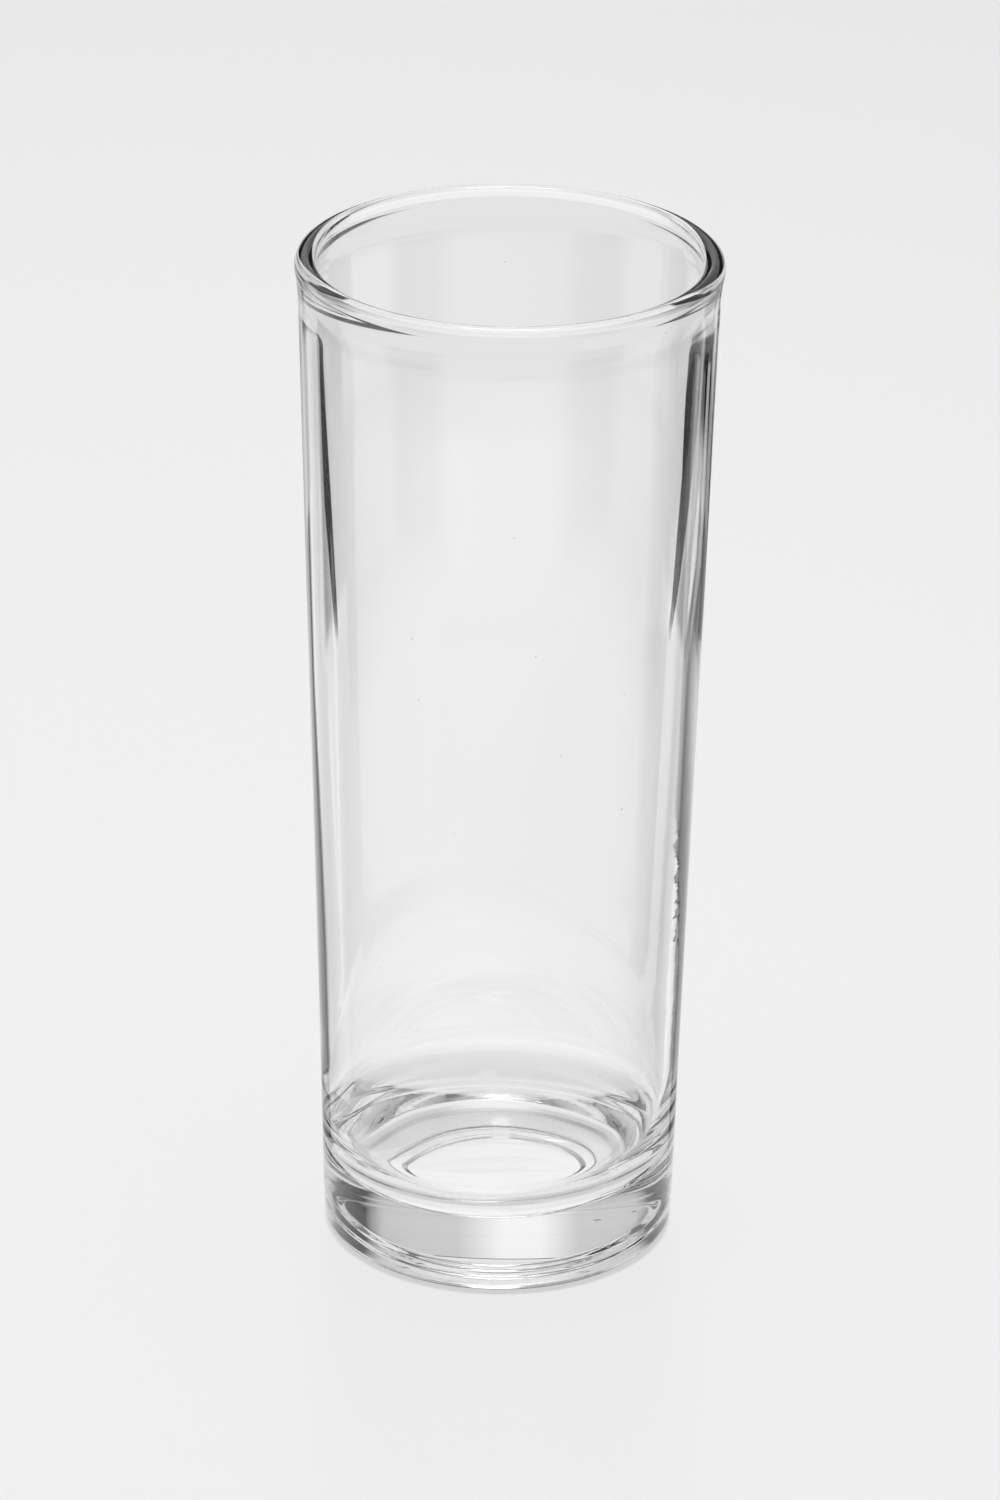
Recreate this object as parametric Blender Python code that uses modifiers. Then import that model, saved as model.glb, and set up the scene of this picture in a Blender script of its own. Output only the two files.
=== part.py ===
"""Highball glass: a tall, slightly tapered drinking glass made as one piece of clear glass.

A rounded rim bead stands a little proud of a thin straight wall. The wall runs down into
a thick base with a dished floor inside, a rounded foot edge, a flat ring to stand on and,
inside the ring, two low steps up to a flat middle. The whole glass is one turned profile.
"""

import math

import bpy

# Driving dimensions, in metres
HEIGHT = 0.160  # standing plane to the top of the rim
RIM_DIAMETER = 0.0638  # across the widest part of the rim bead
RIM_BEAD_THICKNESS = 0.0033  # of the rounded rim, inside to outside
RIM_FLARE_HEIGHT = 0.0075  # over which the wall swells into the bead
WALL_TOP_DIAMETER = 0.0625  # outside of the wall, just under the flare
FOOT_DIAMETER = 0.0542  # outside of the wall, carried down to the standing plane
WALL_THICKNESS = 0.0017
FLOOR_THICKNESS = 0.0090  # standing plane to the middle of the floor
FLOOR_DISH_RADIUS = 0.120  # of the shallow bowl that the floor is
FLOOR_CORNER_RADIUS = 0.0110  # where the floor turns up into the wall
FOOT_EDGE_RADIUS = 0.0022  # of the rounded outer edge at the bottom
FOOT_RING_WIDTH = 0.0065  # of the flat ring that the glass stands on
LOW_STEP_HEIGHT = 0.0004  # standing plane to the flat band inside the ring
LOW_STEP_WIDTH = 0.0008  # over which the ring rises to the band
BAND_WIDTH = 0.0019  # of that flat band
PUSH_UP_WIDTH = 0.0014  # over which the band rises to the middle
PUSH_UP_HEIGHT = 0.0012  # standing plane to the flat middle of the underside

# How finely the round shapes are cut up
TURN_STEPS = 72
BEAD_STEPS = 10
FLARE_STEPS = 6
CORNER_STEPS = 8
FOOT_EDGE_STEPS = 6
DISH_STEPS = 7
UNDERSIDE_STEPS = 4

# Screw joins its first and last copy, and the points on the axis, within this distance
WELD = 0.00001


def clear_scene():
    for old in list(bpy.data.objects):
        bpy.data.objects.remove(old)


def arc(centre, radius, start, end, steps):
    """Points along an arc in the profile's plane, both ends included. Angles are in radians."""
    points = []
    for step in range(steps + 1):
        angle = start + (end - start) * step / steps
        points.append((centre[0] + radius * math.cos(angle), centre[1] + radius * math.sin(angle)))
    return points


def swell(share):
    """0 to 1 with a level start and a steep end."""
    return share ** 3


def eased(start, end, steps):
    """Points from start to end along a curve that is level at both, the start left out."""
    points = []
    for step in range(1, steps + 1):
        share = step / steps
        rise = share * share * (3 - 2 * share)
        points.append((start[0] + (end[0] - start[0]) * share, start[1] + (end[1] - start[1]) * rise))
    return points


class Wall:
    """The straight tapered wall: its slope, and its radius outside and inside at a height."""

    def __init__(self):
        self.bead_radius = RIM_BEAD_THICKNESS / 2
        self.bead_height = HEIGHT - self.bead_radius
        self.flare_foot = self.bead_height - RIM_FLARE_HEIGHT
        self.slope = (WALL_TOP_DIAMETER - FOOT_DIAMETER) / 2 / self.flare_foot
        self.lean = math.atan(self.slope)

    def outside(self, height):
        return FOOT_DIAMETER / 2 + self.slope * height

    def inside(self, height):
        return self.outside(height) - WALL_THICKNESS / math.cos(self.lean)


def floor_profile(wall):
    """From the middle of the floor out along the dish and up its corner to the wall."""
    dish_centre = FLOOR_THICKNESS + FLOOR_DISH_RADIUS
    reach = FLOOR_DISH_RADIUS - FLOOR_CORNER_RADIUS
    corner_height = FLOOR_THICKNESS + FLOOR_CORNER_RADIUS
    # The corner touches the wall and the dish, and its height settles in a few rounds
    for _ in range(20):
        corner_at = wall.inside(corner_height) - FLOOR_CORNER_RADIUS / math.cos(wall.lean)
        corner_height = dish_centre - math.sqrt(reach * reach - corner_at * corner_at)
    touch = math.atan2(corner_height - dish_centre, corner_at)
    dish = arc((0, dish_centre), FLOOR_DISH_RADIUS, -math.pi / 2, touch, DISH_STEPS)
    dish[0] = (0, FLOOR_THICKNESS)
    corner = arc((corner_at, corner_height), FLOOR_CORNER_RADIUS, touch, -wall.lean, CORNER_STEPS)
    return dish + corner[1:]


def rim_profile(wall):
    """Up the inner flare, over the bead and down the outer flare."""
    bead_at = RIM_DIAMETER / 2 - wall.bead_radius
    inner = []
    outer = []
    for step in range(FLARE_STEPS):
        share = step / FLARE_STEPS
        height = wall.flare_foot + RIM_FLARE_HEIGHT * share
        inside = wall.inside(height)
        outside = wall.outside(height)
        inner.append((inside + (bead_at - wall.bead_radius - inside) * swell(share), height))
        outer.append((outside + (bead_at + wall.bead_radius - outside) * swell(share), height))
    bead = arc((bead_at, wall.bead_height), wall.bead_radius, math.pi, 0, BEAD_STEPS)
    return inner + bead + outer[::-1]


def foot_profile(wall):
    """Round the foot edge, in along the standing ring, and up two low steps to the axis."""
    edge_at = wall.outside(FOOT_EDGE_RADIUS) - FOOT_EDGE_RADIUS / math.cos(wall.lean)
    edge = arc((edge_at, FOOT_EDGE_RADIUS), FOOT_EDGE_RADIUS, -wall.lean, -math.pi / 2, FOOT_EDGE_STEPS)
    edge[-1] = (edge_at, 0)
    ring_in = (edge_at - FOOT_RING_WIDTH, 0)
    band_out = (ring_in[0] - LOW_STEP_WIDTH, LOW_STEP_HEIGHT)
    band_in = (band_out[0] - BAND_WIDTH, LOW_STEP_HEIGHT)
    middle = (band_in[0] - PUSH_UP_WIDTH, PUSH_UP_HEIGHT)
    low_step = eased(ring_in, band_out, UNDERSIDE_STEPS)
    push_up = eased(band_in, middle, UNDERSIDE_STEPS)
    return edge + [ring_in] + low_step + [band_in] + push_up + [(0, PUSH_UP_HEIGHT)]


def glass_material():
    material = bpy.data.materials.new("clear_glass")
    material.use_nodes = True
    shader = material.node_tree.nodes["Principled BSDF"]
    shader.inputs["Base Color"].default_value = (0.96, 0.975, 0.965, 1)
    shader.inputs["Roughness"].default_value = 0.02
    shader.inputs["IOR"].default_value = 1.52
    shader.inputs["Transmission Weight"].default_value = 1
    return material


def turned(name, profile, material):
    """An object turned about +Z from a profile of (radius, height) points."""
    mesh = bpy.data.meshes.new(name)
    points = [(radius, 0, height) for radius, height in profile]
    mesh.from_pydata(points, [(i, i + 1) for i in range(len(points) - 1)], [])
    mesh.materials.append(material)
    piece = bpy.data.objects.new(name, mesh)
    turn = piece.modifiers.new("turn", "SCREW")
    turn.axis = "Z"
    turn.angle = math.tau
    turn.steps = TURN_STEPS
    turn.render_steps = TURN_STEPS
    turn.use_merge_vertices = True
    turn.merge_threshold = WELD
    turn.use_smooth_shade = True
    return piece


def main():
    clear_scene()
    collection = bpy.data.collections.new("highball_glass")
    bpy.context.scene.collection.children.link(collection)
    wall = Wall()
    profile = floor_profile(wall) + rim_profile(wall) + foot_profile(wall)
    collection.objects.link(turned("tumbler", profile, glass_material()))


main()
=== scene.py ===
"""Highball glass on a pale studio table, seen as in the photograph.

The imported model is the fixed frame. The visible glass is a finely turned copy of the same
profile, with the faint waves, pits and worn foot of pressed glass, and it replaces the
plain solid.
"""

import math

import bpy
import numpy as np
from mathutils import Matrix, Vector


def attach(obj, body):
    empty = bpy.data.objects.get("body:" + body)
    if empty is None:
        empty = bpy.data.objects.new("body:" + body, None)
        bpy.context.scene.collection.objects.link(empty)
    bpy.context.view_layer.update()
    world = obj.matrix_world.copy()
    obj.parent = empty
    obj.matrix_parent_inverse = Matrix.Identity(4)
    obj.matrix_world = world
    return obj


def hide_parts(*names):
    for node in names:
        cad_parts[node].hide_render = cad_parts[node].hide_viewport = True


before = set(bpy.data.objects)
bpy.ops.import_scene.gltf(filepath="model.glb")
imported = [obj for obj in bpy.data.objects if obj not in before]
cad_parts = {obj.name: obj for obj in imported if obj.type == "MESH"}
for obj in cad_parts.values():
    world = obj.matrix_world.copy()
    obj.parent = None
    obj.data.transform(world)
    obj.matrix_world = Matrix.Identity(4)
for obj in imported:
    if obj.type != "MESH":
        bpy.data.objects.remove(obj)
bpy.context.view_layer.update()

# The glass, in metres, as in the part's source
HEIGHT = 0.160
RIM_DIAMETER = 0.0638
RIM_BEAD_THICKNESS = 0.0033
RIM_FLARE_HEIGHT = 0.0075
WALL_TOP_DIAMETER = 0.0625
FOOT_DIAMETER = 0.0542
WALL_THICKNESS = 0.0017
FLOOR_THICKNESS = 0.0090
FLOOR_DISH_RADIUS = 0.120
FLOOR_CORNER_RADIUS = 0.0110
FOOT_EDGE_RADIUS = 0.0022
FOOT_RING_WIDTH = 0.0065
LOW_STEP_HEIGHT = 0.0004
LOW_STEP_WIDTH = 0.0008
BAND_WIDTH = 0.0019
PUSH_UP_WIDTH = 0.0014
PUSH_UP_HEIGHT = 0.0012

# How finely the visible glass is cut up
TURN_STEPS = 312
BEAD_STEPS = 32
FLARE_STEPS = 20
WALL_STEPS = 60
CORNER_STEPS = 28
DISH_STEPS = 24
FOOT_EDGE_STEPS = 16
RING_STEPS = 6
UNDERSIDE_STEPS = 10
PUSH_UP_STEPS = 16

# Waves left in the wall by the mould: how many round the glass, rise in waves per metre,
# phase, and size in metres
INNER_WAVES = ((3, 3, 0.4, 0.00005), (7, -5, 1.9, 0.00002), (12, 14, 4.0, 0.000007))
OUTER_WAVES = ((4, 4, 2.6, 0.00002), (9, -9, 0.8, 0.000005))
WAVES_TOP = (0.146, 0.157)  # heights between which the waves end, under the rim
WAVES_FOOT = (0.002, 0.012)  # heights between which they start, above the foot
WAVES_MIDDLE = (0.016, 0.024)  # radii between which they start, outside the middle
WAVES_ON_LEFT = 0.3  # share of their size on the left of the glass
WAVES_TO_RIGHT = (-0.010, 0.015)  # places along X between which that share grows to 1

# The inside sits a little to the left of the middle, along X, and the floor a little more
WALL_SHIFT = -0.0004
WALL_SHIFT_TOP = (0.152, 0.1585)  # heights between which the wall's shift ends
FLOOR_SHIFT = -0.0008
FLOOR_SHIFT_TOP = (0.012, 0.028)  # heights between which the floor's shift ends

# The surface of the glass
GLASS_IOR = 1.52
SEED_SPACING = 0.0045  # of the small pits
SEED_RADIUS = 0.00012
SEED_DEPTH = SEED_RADIUS * 0.6
RINGS_PITCH = 0.0055  # of the level rings low on the sides of the wall
RINGS_SIZE = 0.000016
SMEAR_ROUGHNESS = 0.02
WORN_ROUGHNESS = 0.06
WORN_DEPTH = 0.000002
SHADOW_FACING = 0.99  # share of the lamp's light that gets through glass it meets squarely
SHADOW_SLANTED = 0.94  # and through glass that it grazes

# The camera, fitted to the rim and the foot of the photographed glass
CAMERA_TARGET = (-0.00055, 0.0, 0.07959)
CAMERA_DISTANCE = 1.04645
CAMERA_PITCH = 24.451  # degrees below level
CAMERA_ROLL = 0.748  # degrees
CAMERA_LENS = 164.84  # millimetres on the sensor
CAMERA_SENSOR = 36.0

# The table
TABLE_HALF = 6.0
TABLE_DROP = 0.00002  # keeps the table just clear of the foot ring
FLOOR_GREY = 0.87
CONTACT_SHADOW_RADIUS = 0.0252  # middle of the ring of painted contact shadow, where the glass meets the table
CONTACT_SHADOW_WIDTH = 0.0022
# painted contact shadow: the table's grey in the ring under the foot
PAINTED_CONTACT_SHADOW_GREY = 0.66
# painted pool of light: the table's grey under the glass
PAINTED_LIGHT_POOL_GREY = 0.98
# painted shade: the table's grey beside the foot, as the glass shows it
PAINTED_SHADE_BESIDE_GLASS_GREY = 0.76
TABLE_IN_GLASS = (0.036, 0.052)  # radii between which the glass stops showing the table itself
TABLE_TO_BACKDROP = (0.7, 2.2)  # radii between which the table runs into the backdrop

# The studio's light
LAMP_LIGHT = 0.645  # on the table, as a share of full white
LAMP_HEIGHT = 1.9
LAMP_SIZE = 1.6
AMBIENT = 0.50
PANEL = 5.0  # brightness of the softbox that shows as the white glints
DARK = 0.01  # brightness of the narrow screens
BACKDROP = 0.84  # brightness of the pale backdrop behind clear glass


def arc(centre, radius, start, end, steps):
    """Points along an arc in the profile's plane, both ends included. Angles are in radians."""
    points = []
    for step in range(steps + 1):
        angle = start + (end - start) * step / steps
        points.append((centre[0] + radius * math.cos(angle), centre[1] + radius * math.sin(angle)))
    return points


def ease(share):
    """0 to 1 with a level start and end."""
    return share * share * (3 - 2 * share)


def swell(share):
    """0 to 1 with a level start and a steep end."""
    return share ** 3


def along(start, end, steps):
    """Points inside a straight stretch of the profile, both ends left out."""
    points = []
    for step in range(1, steps):
        share = step / steps
        points.append((start[0] + (end[0] - start[0]) * share, start[1] + (end[1] - start[1]) * share))
    return points


def eased(start, end, steps):
    """Points from start to end along a curve that is level at both, the start left out."""
    points = []
    for step in range(1, steps + 1):
        share = step / steps
        points.append((start[0] + (end[0] - start[0]) * share, start[1] + (end[1] - start[1]) * ease(share)))
    return points


class Wall:
    """The straight tapered wall: its slope, and its radius outside and inside at a height."""

    def __init__(self):
        self.bead_radius = RIM_BEAD_THICKNESS / 2
        self.bead_height = HEIGHT - self.bead_radius
        self.flare_foot = self.bead_height - RIM_FLARE_HEIGHT
        self.slope = (WALL_TOP_DIAMETER - FOOT_DIAMETER) / 2 / self.flare_foot
        self.lean = math.atan(self.slope)

    def outside(self, height):
        return FOOT_DIAMETER / 2 + self.slope * height

    def inside(self, height):
        return self.outside(height) - WALL_THICKNESS / math.cos(self.lean)


def floor_profile(wall):
    """From the middle of the floor out along the dish and up its corner to the wall."""
    dish_centre = FLOOR_THICKNESS + FLOOR_DISH_RADIUS
    reach = FLOOR_DISH_RADIUS - FLOOR_CORNER_RADIUS
    corner_height = FLOOR_THICKNESS + FLOOR_CORNER_RADIUS
    # The corner touches the wall and the dish, and its height settles in a few rounds
    for _ in range(20):
        corner_at = wall.inside(corner_height) - FLOOR_CORNER_RADIUS / math.cos(wall.lean)
        corner_height = dish_centre - math.sqrt(reach * reach - corner_at * corner_at)
    touch = math.atan2(corner_height - dish_centre, corner_at)
    dish = arc((0, dish_centre), FLOOR_DISH_RADIUS, -math.pi / 2, touch, DISH_STEPS)
    corner = arc((corner_at, corner_height), FLOOR_CORNER_RADIUS, touch, -wall.lean, CORNER_STEPS)
    return dish + corner[1:]


def rim_profile(wall):
    """Up the inner flare, over the bead and down the outer flare."""
    bead_at = RIM_DIAMETER / 2 - wall.bead_radius
    inner = []
    outer = []
    for step in range(FLARE_STEPS):
        share = step / FLARE_STEPS
        height = wall.flare_foot + RIM_FLARE_HEIGHT * share
        inside = wall.inside(height)
        outside = wall.outside(height)
        inner.append((inside + (bead_at - wall.bead_radius - inside) * swell(share), height))
        outer.append((outside + (bead_at + wall.bead_radius - outside) * swell(share), height))
    bead = arc((bead_at, wall.bead_height), wall.bead_radius, math.pi, 0, BEAD_STEPS)
    return inner + bead + outer[::-1]


def foot_profile(wall):
    """Round the foot edge, in along the standing ring, and up two low steps to the axis."""
    edge_at = wall.outside(FOOT_EDGE_RADIUS) - FOOT_EDGE_RADIUS / math.cos(wall.lean)
    edge = arc((edge_at, FOOT_EDGE_RADIUS), FOOT_EDGE_RADIUS, -wall.lean, -math.pi / 2, FOOT_EDGE_STEPS)
    ring_in = (edge_at - FOOT_RING_WIDTH, 0)
    ring = along((edge_at, 0), ring_in, RING_STEPS) + [ring_in]
    band_out = (ring_in[0] - LOW_STEP_WIDTH, LOW_STEP_HEIGHT)
    band_in = (band_out[0] - BAND_WIDTH, LOW_STEP_HEIGHT)
    low_step = eased(ring_in, band_out, UNDERSIDE_STEPS)
    band = along(band_out, band_in, RING_STEPS) + [band_in]
    push_in = (band_in[0] - PUSH_UP_WIDTH, PUSH_UP_HEIGHT)
    push_up = eased(band_in, push_in, UNDERSIDE_STEPS)
    axis = (0, PUSH_UP_HEIGHT)
    middle = along(push_in, axis, PUSH_UP_STEPS) + [axis]
    return edge + ring + low_step + band + push_up + middle


def glass_profile():
    """The whole profile, from the middle of the floor to the middle of the underside."""
    wall = Wall()
    floor = floor_profile(wall)
    rim = rim_profile(wall)
    foot = foot_profile(wall)
    inner_wall = along(floor[-1], rim[0], WALL_STEPS)
    outer_wall = along(rim[-1], foot[0], WALL_STEPS)
    return floor + inner_wall + rim + outer_wall + foot


def waves(terms, angle, height):
    """Sum of slanted waves round the wall, in metres."""
    total = np.zeros(np.broadcast(angle, height).shape)
    for count, rise, phase, size in terms:
        total += size * np.sin(count * angle + math.tau * rise * height + phase)
    return total


def smooth(limits, value):
    """0 below the first limit, 1 above the second, smooth between."""
    low, high = limits
    return ease(np.clip((value - low) / (high - low), 0, 1))


def shape_wall(points, inside):
    """Moves the wall in and out by the mould's waves, and the inner rings, told by inside, along X."""
    angle = np.arctan2(points[:, :, 1], points[:, :, 0])
    height = points[:, :, 2]
    radius = np.hypot(points[:, :, 0], points[:, :, 1])
    strength = (1 - smooth(WAVES_TOP, height)) * smooth(WAVES_FOOT, height) * smooth(WAVES_MIDDLE, radius)
    strength *= WAVES_ON_LEFT + (1 - WAVES_ON_LEFT) * smooth(WAVES_TO_RIGHT, points[:, :, 0])
    moved = np.where(inside[:, None], waves(INNER_WAVES, angle, height), waves(OUTER_WAVES, angle, height))
    share = 1 + moved * strength / np.maximum(radius, 0.001)
    points[:, :, 0] *= share
    points[:, :, 1] *= share
    shift = WALL_SHIFT * (1 - smooth(WALL_SHIFT_TOP, height))
    shift = shift + FLOOR_SHIFT * (1 - smooth(FLOOR_SHIFT_TOP, height))
    points[:, :, 0] += np.where(inside[:, None], shift, 0)


def turned_points(rings):
    """The profile's rings turned about +Z and waved: an array of rings by turn steps by 3."""
    angles = np.arange(TURN_STEPS) * math.tau / TURN_STEPS
    points = np.empty((len(rings), TURN_STEPS, 3))
    points[:, :, 0] = rings[:, 0, None] * np.cos(angles)
    points[:, :, 1] = rings[:, 0, None] * np.sin(angles)
    points[:, :, 2] = rings[:, 1, None]
    top = int(np.argmax(rings[:, 1]))
    shape_wall(points, np.arange(len(rings)) < top)
    return points


def turned_faces(ring_count, first_middle, last_middle):
    """Faces between rings, with a fan of triangles to a middle point at each end."""
    faces = []
    last = (ring_count - 1) * TURN_STEPS
    for step in range(TURN_STEPS):
        after = (step + 1) % TURN_STEPS
        faces.append((first_middle, step, after))
        for ring in range(ring_count - 1):
            low = ring * TURN_STEPS
            high = low + TURN_STEPS
            faces.append((low + step, high + step, high + after, low + after))
        faces.append((last + step, last_middle, last + after))
    return faces


def turned(name, profile):
    """A closed mesh turned about +Z. The first and last points of the profile are on the axis."""
    rings = np.array(profile[1:-1])
    vertices = [tuple(point) for point in turned_points(rings).reshape(-1, 3)]
    floor_middle = len(vertices)
    vertices.append((WALL_SHIFT + FLOOR_SHIFT, 0, profile[0][1]))
    foot_middle = len(vertices)
    vertices.append((0, 0, profile[-1][1]))
    mesh = bpy.data.meshes.new(name)
    mesh.from_pydata(vertices, [], turned_faces(len(rings), floor_middle, foot_middle))
    mesh.validate()
    for face in mesh.polygons:
        face.use_smooth = True
    piece = bpy.data.objects.new(name, mesh)
    bpy.context.scene.collection.objects.link(piece)
    return piece


def new_node(tree, kind, **settings):
    node = tree.nodes.new(kind)
    for key, value in settings.items():
        setattr(node, key, value)
    return node


def feed(tree, socket, value):
    """Puts a number or an output socket into an input socket."""
    if isinstance(value, bpy.types.NodeSocket):
        tree.links.new(value, socket)
    else:
        socket.default_value = value


def math_of(tree, operation, first, second=None):
    """A Math node. Each operand is a number or an output socket."""
    node = new_node(tree, "ShaderNodeMath", operation=operation)
    feed(tree, node.inputs[0], first)
    if second is not None:
        feed(tree, node.inputs[1], second)
    return node.outputs[0]


def product_of(tree, first, *others):
    """Several numbers or output sockets multiplied."""
    for other in others:
        first = math_of(tree, "MULTIPLY", first, other)
    return first


def ramp_of(tree, value, span, stops):
    """A brightness read from a ramp: stops are (position, brightness), and span is the last position."""
    node = new_node(tree, "ShaderNodeValToRGB")
    elements = node.color_ramp.elements
    while len(elements) < len(stops):
        elements.new(1.0)
    for element, (position, brightness) in zip(elements, stops):
        element.position = position / span
        element.color = (brightness, brightness, brightness, 1)
    tree.links.new(math_of(tree, "DIVIDE", value, span), node.inputs[0])
    return node.outputs[0]


def step_of(tree, value, low, high):
    """0 on low's side of the two limits, 1 on high's, smooth between. low may be the larger one."""
    node = new_node(tree, "ShaderNodeMapRange", interpolation_type="SMOOTHSTEP")
    tree.links.new(value, node.inputs["Value"])
    node.inputs["From Min"].default_value = low
    node.inputs["From Max"].default_value = high
    return node.outputs["Result"]


def fit_of(tree, value, low, high, at_low, at_high):
    """at_low on low's side of the two limits, at_high on high's, and a straight line between."""
    node = new_node(tree, "ShaderNodeMapRange")
    tree.links.new(value, node.inputs["Value"])
    for name, number in (("From Min", low), ("From Max", high), ("To Min", at_low), ("To Max", at_high)):
        node.inputs[name].default_value = number
    return node.outputs["Result"]


def slot_of(tree, value, low, high):
    """1 between two limits that are output sockets, 0 outside them, with narrow edges."""
    above = step_of(tree, math_of(tree, "SUBTRACT", value, low), -0.1, 0.1)
    below = step_of(tree, math_of(tree, "SUBTRACT", high, value), -0.1, 0.1)
    return product_of(tree, above, below)


def mix_of(tree, share, first, second):
    """first where share is 0, second where it is 1. Each is a grey number or an output socket."""
    node = new_node(tree, "ShaderNodeMix", data_type="FLOAT")
    for index, value in ((0, share), (2, first), (3, second)):
        feed(tree, node.inputs[index], value)
    return node.outputs[0]


def noise_of(tree, place, scale, detail):
    node = new_node(tree, "ShaderNodeTexNoise")
    tree.links.new(place, node.inputs["Vector"])
    node.inputs["Scale"].default_value = scale
    node.inputs["Detail"].default_value = detail
    return node.outputs["Fac"]


def blend_of(tree, share, first, second):
    """A Mix Shader: first where share is 0, second where it is 1."""
    node = new_node(tree, "ShaderNodeMixShader")
    tree.links.new(share, node.inputs[0])
    tree.links.new(first.outputs[0], node.inputs[1])
    tree.links.new(second.outputs[0], node.inputs[2])
    return node


def bent_rays(tree, path):
    """1 for rays that come out of the glass or off it."""
    return math_of(tree, "MAXIMUM", path.outputs["Is Transmission Ray"], path.outputs["Is Glossy Ray"])


def seeds_of(tree, place):
    """Small round hollows where the surface cuts a seed in the glass."""
    cells = new_node(tree, "ShaderNodeTexVoronoi")
    tree.links.new(place, cells.inputs["Vector"])
    cells.inputs["Scale"].default_value = 1 / SEED_SPACING
    away = math_of(tree, "MULTIPLY", cells.outputs["Distance"], SEED_SPACING)
    return step_of(tree, away, SEED_RADIUS, 0.0)


def worn_of(tree, place, height):
    """The worn grains of the ring that the glass stands on."""
    worn = step_of(tree, height, 0.0003, 0.0001)
    grain = noise_of(tree, place, 1400, 3)
    return product_of(tree, worn, step_of(tree, grain, 0.50, 0.62))


def level_rings_of(tree, split):
    """Uneven level rings low on the sides of the wall, higher up on the right."""
    angle = math_of(tree, "ARCTAN2", split.outputs["Y"], split.outputs["X"])
    rings = new_node(tree, "ShaderNodeCombineXYZ")
    tree.links.new(math_of(tree, "MULTIPLY", angle, 2.0), rings.inputs["X"])
    tree.links.new(math_of(tree, "DIVIDE", split.outputs["Z"], RINGS_PITCH), rings.inputs["Y"])
    right = step_of(tree, split.outputs["X"], 0.014, 0.026)
    on_right = product_of(tree, right, step_of(tree, split.outputs["Z"], 0.105, 0.060))
    left = step_of(tree, split.outputs["X"], -0.014, -0.026)
    on_left = product_of(tree, left, step_of(tree, split.outputs["Z"], 0.050, 0.030))
    ringed = math_of(tree, "MAXIMUM", on_right, on_left)
    return product_of(tree, ringed, noise_of(tree, rings.outputs[0], 1, 3))


def lamp_light_through(tree):
    """What lamps see of the glass: clear, with a faint shadow where it slants."""
    clear = new_node(tree, "ShaderNodeBsdfTransparent")
    slanted = new_node(tree, "ShaderNodeLayerWeight").outputs["Facing"]
    passed = mix_of(tree, step_of(tree, slanted, 0.4, 0.95), SHADOW_FACING, SHADOW_SLANTED)
    tree.links.new(passed, clear.inputs["Color"])
    return clear


def glass_material():
    """Clear glass with small seeds and pits, faint smears and a worn ring under the foot."""
    material = bpy.data.materials.new("clear_glass")
    material.use_nodes = True
    tree = material.node_tree
    shader = tree.nodes["Principled BSDF"]
    shader.inputs["Base Color"].default_value = (1, 1, 1, 1)
    shader.inputs["IOR"].default_value = GLASS_IOR
    shader.inputs["Transmission Weight"].default_value = 1
    place = new_node(tree, "ShaderNodeTexCoord").outputs["Object"]
    split = new_node(tree, "ShaderNodeSeparateXYZ")
    tree.links.new(place, split.inputs[0])

    worn = worn_of(tree, place, split.outputs["Z"])
    smears = step_of(tree, noise_of(tree, place, 55, 4), 0.55, 0.80)
    roughness = math_of(tree, "MULTIPLY", smears, SMEAR_ROUGHNESS)
    roughness = math_of(tree, "MAXIMUM", roughness, math_of(tree, "MULTIPLY", worn, WORN_ROUGHNESS))
    tree.links.new(roughness, shader.inputs["Roughness"])

    relief = math_of(tree, "MULTIPLY", seeds_of(tree, place), -SEED_DEPTH)
    rings = math_of(tree, "MULTIPLY", level_rings_of(tree, split), RINGS_SIZE)
    relief = math_of(tree, "ADD", relief, rings)
    relief = math_of(tree, "ADD", relief, math_of(tree, "MULTIPLY", worn, WORN_DEPTH))
    bump = new_node(tree, "ShaderNodeBump")
    bump.inputs["Distance"].default_value = 1.0
    tree.links.new(relief, bump.inputs["Height"])
    tree.links.new(bump.outputs[0], shader.inputs["Normal"])

    path = new_node(tree, "ShaderNodeLightPath")
    whole = blend_of(tree, path.outputs["Is Shadow Ray"], shader, lamp_light_through(tree))
    tree.links.new(whole.outputs[0], tree.nodes["Material Output"].inputs["Surface"])
    return material


def painted_light_pool_of(tree, place, away):
    """Mask of the painted pool of light on the table: under the base's middle and, as if from lamps behind,
    towards the back.
    """
    under = step_of(tree, away, 0.019, 0.017)
    split = new_node(tree, "ShaderNodeSeparateXYZ")
    tree.links.new(place, split.inputs[0])
    across = math_of(tree, "ABSOLUTE", split.outputs["X"])
    behind = product_of(tree, step_of(tree, across, 0.011, 0.003),
                        step_of(tree, split.outputs["Y"], 0.008, 0.016), step_of(tree, away, 0.0290, 0.0270))
    return math_of(tree, "MAXIMUM", under, behind)


def table_grey_with_painted_light_of(tree, place, away, bent):
    """The table's grey, with a painted contact shadow ring, a painted pool of light under the glass and
    painted shade beside it.
    """
    # Painted contact shadow: the table is darker in a ring where the foot's ring stands on it
    ring = math_of(tree, "ABSOLUTE", math_of(tree, "SUBTRACT", away, CONTACT_SHADOW_RADIUS))
    grey = mix_of(tree, step_of(tree, ring, CONTACT_SHADOW_WIDTH, CONTACT_SHADOW_WIDTH * 0.6), FLOOR_GREY, PAINTED_CONTACT_SHADOW_GREY)
    # Painted pool of light under the glass
    grey = mix_of(tree, painted_light_pool_of(tree, place, away), grey, PAINTED_LIGHT_POOL_GREY)
    # Painted shade: the table beside the foot is darker where seen through or off the glass, as the glass's
    # base shows
    beside = product_of(tree, bent, step_of(tree, away, 0.029, 0.034))
    return mix_of(tree, beside, grey, PAINTED_SHADE_BESIDE_GLASS_GREY)


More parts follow.
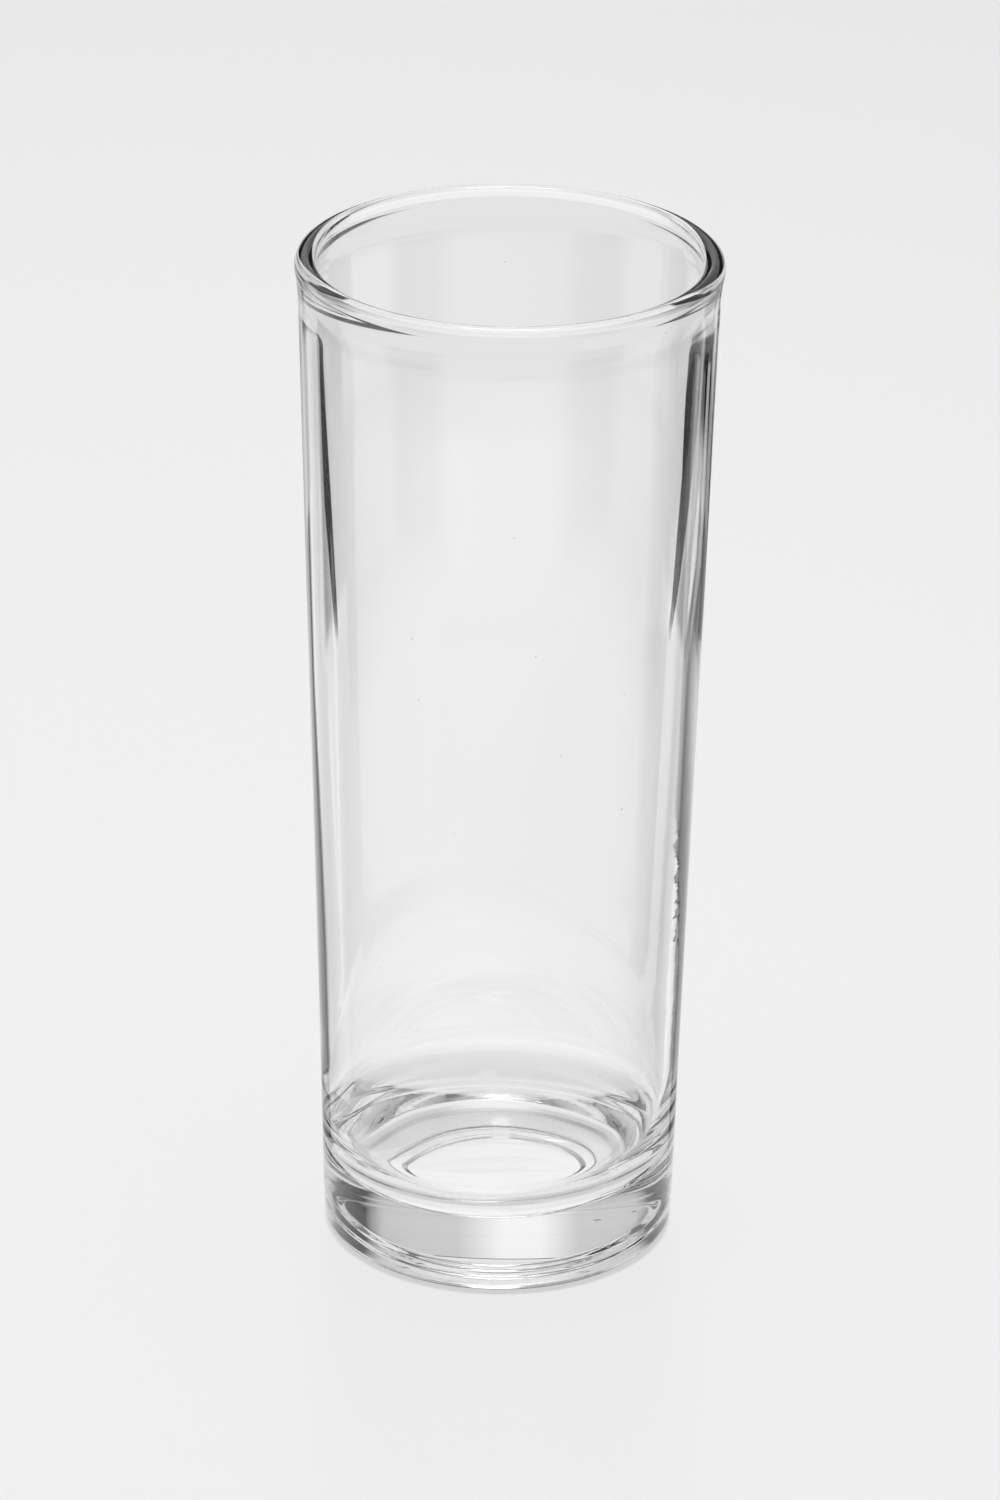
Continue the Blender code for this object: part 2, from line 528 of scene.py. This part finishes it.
def floor_material():
    """Pale satin table. Away from the foot, the glass shows the studio below instead of it."""
    material = bpy.data.materials.new("pale_table")
    material.use_nodes = True
    tree = material.node_tree
    shader = tree.nodes["Principled BSDF"]
    shader.inputs["Roughness"].default_value = 0.35
    shader.inputs["Specular IOR Level"].default_value = 0.3
    place = new_node(tree, "ShaderNodeNewGeometry").outputs["Position"]
    length = new_node(tree, "ShaderNodeVectorMath", operation="LENGTH")
    tree.links.new(place, length.inputs[0])
    away = length.outputs["Value"]
    path = new_node(tree, "ShaderNodeLightPath")
    bent = bent_rays(tree, path)
    # The table's colour carries painted shadow, light and shade around the foot
    tree.links.new(table_grey_with_painted_light_of(tree, place, away, bent), shader.inputs["Base Color"])
    clear = new_node(tree, "ShaderNodeBsdfTransparent")
    past = product_of(tree, step_of(tree, away, *TABLE_IN_GLASS), bent)
    near = blend_of(tree, past, shader, clear)
    # Far off, the table runs into the backdrop without a line
    backdrop = new_node(tree, "ShaderNodeEmission")
    backdrop.inputs["Color"].default_value = (FLOOR_GREY, FLOOR_GREY, FLOOR_GREY, 1)
    beyond = product_of(tree, step_of(tree, away, *TABLE_TO_BACKDROP), path.outputs["Is Camera Ray"])
    whole = blend_of(tree, beyond, near, backdrop)
    tree.links.new(whole.outputs[0], tree.nodes["Material Output"].inputs["Surface"])
    return material


def make_floor():
    half = TABLE_HALF
    corners = [(-half, -half, 0), (half, -half, 0), (half, half, 0), (-half, half, 0)]
    mesh = bpy.data.meshes.new("table")
    mesh.from_pydata(corners, [], [(0, 1, 2, 3)])
    mesh.materials.append(floor_material())
    floor = bpy.data.objects.new("table", mesh)
    floor.location.z = -TABLE_DROP
    bpy.context.scene.collection.objects.link(floor)


def make_lamp():
    """A broad soft light above. The glass shows the world's softbox instead, so only the table sees it."""
    data = bpy.data.lights.new("overhead", "AREA")
    data.shape = "RECTANGLE"
    data.size = LAMP_SIZE
    data.size_y = LAMP_SIZE
    data.energy = LAMP_LIGHT * math.pi ** 2 * LAMP_HEIGHT ** 2
    lamp = bpy.data.objects.new("overhead", data)
    lamp.location = (0, 0.1, LAMP_HEIGHT)
    lamp.visible_glossy = False
    lamp.visible_transmission = False
    lamp.visible_camera = False
    bpy.context.scene.collection.objects.link(lamp)


class Ray:
    """Where a ray leaves to. The bearing is from +Y towards +X, and angles are in degrees."""

    def __init__(self, tree):
        place = new_node(tree, "ShaderNodeTexCoord")
        split = new_node(tree, "ShaderNodeSeparateXYZ")
        tree.links.new(place.outputs["Generated"], split.inputs[0])
        self.x = split.outputs["X"]
        self.y = split.outputs["Y"]
        self.z = split.outputs["Z"]
        degrees = 180 / math.pi
        self.bearing = math_of(tree, "MULTIPLY", math_of(tree, "ARCTAN2", self.x, self.y), degrees)
        self.around = math_of(tree, "ABSOLUTE", self.bearing)
        self.height = math_of(tree, "MULTIPLY", math_of(tree, "ARCSINE", self.z), degrees)
        self.on_right = step_of(tree, self.bearing, -1, 1)


def studio_below(tree, ray):
    """Straight down, the table beside the glass, with a shaded stretch to each side."""
    beside = ramp_of(tree, ray.around, 180, [
        (0, .96), (14, .94), (40, .87), (48, .40), (75, .40), (85, .87), (180, .87)])
    return mix_of(tree, step_of(tree, ray.height, -46, -42), FLOOR_GREY, beside)


def studio_low(tree, ray):
    """The table fades to each side, up to the edge of a dark screen, and is open past it."""
    fading = ramp_of(tree, ray.around, 180, [
        (0, .91), (5, .87), (8, .80), (12, .63), (16, .46), (20, .39), (24, .31), (28, .25),
        (42, .16), (180, .16)])
    open_table = ramp_of(tree, ray.around, 180, [
        (0, .88), (36, .88), (44, .92), (54, 1.0), (60, .95), (66, .85), (69, .62), (180, .58)])
    right_top = fit_of(tree, ray.height, -23.6, -24.8, 27, 42)
    right_foot = fit_of(tree, ray.height, -26.4, -27.0, 0, -12)
    right_screen = math_of(tree, "ADD", right_top, right_foot)
    left_screen = fit_of(tree, ray.height, -24.6, -27.1, 25, 35)
    past = math_of(tree, "SUBTRACT", ray.around, mix_of(tree, ray.on_right, left_screen, right_screen))
    fading = product_of(tree, fading, mix_of(tree, step_of(tree, past, -4, -0.5), 1.0, 0.25))
    return mix_of(tree, step_of(tree, past, 0, 4), fading, open_table)


def left_of_high(tree, ray):
    """Pale and grey stretches on the left, with a narrow dark slot."""
    pale = ramp_of(tree, ray.around, 180, [
        (0, .90), (7, .90), (8, .62), (13, .60), (16, .5), (20, .76), (26, .37), (28, .45),
        (31, .75), (35, .95), (48, .9), (49.5, .01), (66, .01), (105, .02), (112, .4), (180, .4)])
    inner = fit_of(tree, ray.height, -21.4, -23.5, 7.2, 6.1)
    outer = fit_of(tree, ray.height, -22.6, -23.6, 8.3, 6.8)
    return mix_of(tree, slot_of(tree, ray.around, inner, outer), pale, DARK)


def right_of_high(tree, ray):
    """Pale and grey stretches on the right, with a dark slot and a screen further out."""
    pale = ramp_of(tree, ray.around, 180, [
        (0, .88), (13, .88), (16, .6), (21, .65), (24, .8), (27, .5), (33, .5), (42, .35),
        (44, .8), (46, 1.0), (48, .3), (50, .01), (105, .02), (112, .4), (180, .4)])
    inner = fit_of(tree, ray.height, -22.3, -23.6, 12.6, 9.0)
    outer = fit_of(tree, ray.height, -22.0, -23.6, 21.0, 9.9)
    slotted = mix_of(tree, slot_of(tree, ray.around, inner, outer), pale, DARK)
    screen = product_of(tree, step_of(tree, ray.around, 28, 29), step_of(tree, ray.around, 43.5, 42.5),
                        step_of(tree, ray.height, -22.9, -22.5))
    return mix_of(tree, screen, slotted, DARK)


def studio_high(tree, ray):
    """Above the table's edge, dark screens to both sides, a dark band over them and a pale front."""
    high = mix_of(tree, ray.on_right, left_of_high(tree, ray), right_of_high(tree, ray))
    band = product_of(tree, step_of(tree, ray.around, 19, 21), step_of(tree, ray.height, -21.6, -21.2),
                      step_of(tree, ray.around, 72, 68), step_of(tree, ray.height, -19.8, -20.3))
    high = mix_of(tree, band, high, 0.02)
    high = product_of(tree, high, fit_of(tree, ray.height, -22.0, -20.9, 1.0, 0.90))
    front = product_of(tree, step_of(tree, ray.around, 100, 150), step_of(tree, ray.height, -22.0, -19.5))
    return mix_of(tree, front, high, 0.75)


def side_bands(tree, ray):
    """Far to the sides, dark and pale bands alternate with the height."""
    return ramp_of(tree, math_of(tree, "ADD", ray.height, 30.0), 30, [
        (0, .62), (3.6, .62), (4.6, .05), (6.2, .05), (6.7, .60), (9.0, .60), (10.2, .80), (30, .80)])


def above_table_edge(tree, ray):
    """1 above the edge of the table, which dips at the sides."""
    near = fit_of(tree, ray.around, 10.5, 14, -23.6, -23.1)
    dip = fit_of(tree, ray.around, 34, 44, 0, -1.8)
    edge = math_of(tree, "ADD", near, dip)
    return step_of(tree, math_of(tree, "SUBTRACT", ray.height, edge), -0.12, 0.12)


def studio_table(tree, ray):
    """All that is below the walls of the studio."""
    side = side_bands(tree, ray)
    at_side = product_of(tree, step_of(tree, ray.around, 74, 76), step_of(tree, ray.around, 150, 100))
    low = mix_of(tree, at_side, studio_low(tree, ray), side)
    high = mix_of(tree, at_side, studio_high(tree, ray), side)
    seen = mix_of(tree, step_of(tree, ray.height, -36.5, -34.5), studio_below(tree, ray), low)
    return mix_of(tree, above_table_edge(tree, ray), seen, high)


def studio_walls(tree, ray, seen):
    """The walls of the studio over what is seen below them: pale behind, with dark screens beside."""
    lower = ramp_of(tree, ray.around, 180, [
        (0, .78), (12, .78), (18, .72), (38, .64), (46, .62), (50, .05), (70, .02), (75, .02), (78, .80),
        (104, .84), (114, .10), (136, .10), (148, .84), (180, .86)])
    upper = ramp_of(tree, ray.around, 180, [
        (0, .78), (12, .78), (18, .70), (38, .60), (43, .06), (70, .02), (75, .02), (78, .80), (180, .86)])
    from_left = math_of(tree, "ABSOLUTE", math_of(tree, "ADD", ray.bearing, 6.0))
    top = ramp_of(tree, from_left, 186, [
        (0, .97), (5, .97), (16, .62), (30, .60), (40, .56), (46, .25), (49, .02), (72, .02), (78, .40),
        (95, .5), (125, .6), (186, .6)])
    top = product_of(tree, top, fit_of(tree, ray.height, 27.8, 29.6, 1.0, 0.87))
    seen = mix_of(tree, step_of(tree, ray.height, -20.4, -19.6), seen, lower)
    seen = mix_of(tree, step_of(tree, ray.height, -10, -9), seen, upper)
    return mix_of(tree, step_of(tree, ray.height, 2, 6), seen, top)


def studio_ceiling(tree, ray, seen):
    """A dark gap over the back wall, a dim ceiling, and a long softbox in it."""
    gap = product_of(tree, step_of(tree, ray.height, 0, 3), step_of(tree, ray.height, 17, 14),
                     step_of(tree, ray.around, 45, 30))
    seen = mix_of(tree, gap, seen, 0.05)
    seen = mix_of(tree, step_of(tree, ray.height, 40, 50), seen, 0.2)
    up = math_of(tree, "MAXIMUM", ray.z, 0.001)
    across = math_of(tree, "ABSOLUTE", math_of(tree, "DIVIDE", ray.x, up))
    away = math_of(tree, "DIVIDE", ray.y, up)
    softbox = product_of(tree, step_of(tree, across, .20, .12), step_of(tree, away, .58, .50),
                         step_of(tree, away, .20, .28))
    return mix_of(tree, softbox, seen, PANEL)


def straight_through(tree, ray, path):
    """1 for rays straight through both walls, or one from behind, which show the pale backdrop."""
    walls = path.outputs["Transmission Depth"]
    unreflected = step_of(tree, path.outputs["Glossy Depth"], 1, 0)
    behind = product_of(tree, step_of(tree, walls, 1, 2), step_of(tree, ray.around, 85, 90),
                        step_of(tree, ray.height, 8, 4), unreflected)
    beside = product_of(tree, step_of(tree, walls, 3, 4), unreflected, step_of(tree, ray.around, 30, 38))
    return math_of(tree, "MAXIMUM", beside, behind)


def make_world():
    """Plain even light for the table, and a studio of pale and dark screens for what the glass shows."""
    world = bpy.data.worlds.new("studio")
    bpy.context.scene.world = world
    world.use_nodes = True
    tree = world.node_tree
    ray = Ray(tree)
    path = new_node(tree, "ShaderNodeLightPath")
    seen = studio_walls(tree, ray, studio_table(tree, ray))
    seen = studio_ceiling(tree, ray, seen)
    seen = mix_of(tree, straight_through(tree, ray, path), seen, BACKDROP)
    light = mix_of(tree, bent_rays(tree, path), AMBIENT, seen)
    light = mix_of(tree, path.outputs["Is Camera Ray"], light, FLOOR_GREY)
    tree.links.new(light, tree.nodes["Background"].inputs["Color"])


def make_camera():
    pitch = math.radians(CAMERA_PITCH)
    roll = math.radians(CAMERA_ROLL)
    ahead = Vector((0, math.cos(pitch), -math.sin(pitch)))
    level = Vector((1, 0, 0))
    upright = level.cross(ahead)
    right = math.cos(roll) * level + math.sin(roll) * upright
    up = math.cos(roll) * upright - math.sin(roll) * level
    place = Vector(CAMERA_TARGET) - CAMERA_DISTANCE * ahead
    data = bpy.data.cameras.new("camera")
    data.lens = CAMERA_LENS
    data.sensor_width = CAMERA_SENSOR
    data.clip_end = 50.0
    camera = bpy.data.objects.new("camera", data)
    turn = Matrix((right, up, -ahead)).transposed()
    camera.matrix_world = Matrix.Translation(place) @ turn.to_4x4()
    bpy.context.scene.collection.objects.link(camera)
    bpy.context.scene.camera = camera


def make_glass():
    glass = turned("glass", glass_profile())
    glass.data.materials.append(glass_material())
    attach(glass, "root")
    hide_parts("tumbler")
    glass.visible_diffuse = False


def set_light_paths(scene):
    """Enough bounces for light to find its way through the base, and no caustics on the table."""
    scene.cycles.max_bounces = 24
    scene.cycles.glossy_bounces = 16
    scene.cycles.transmission_bounces = 20
    scene.cycles.caustics_reflective = False
    scene.cycles.caustics_refractive = False


def main():
    scene = bpy.context.scene
    scene.view_settings.view_transform = "Standard"
    set_light_paths(scene)
    make_camera()
    make_glass()
    make_floor()
    make_lamp()
    make_world()


main()
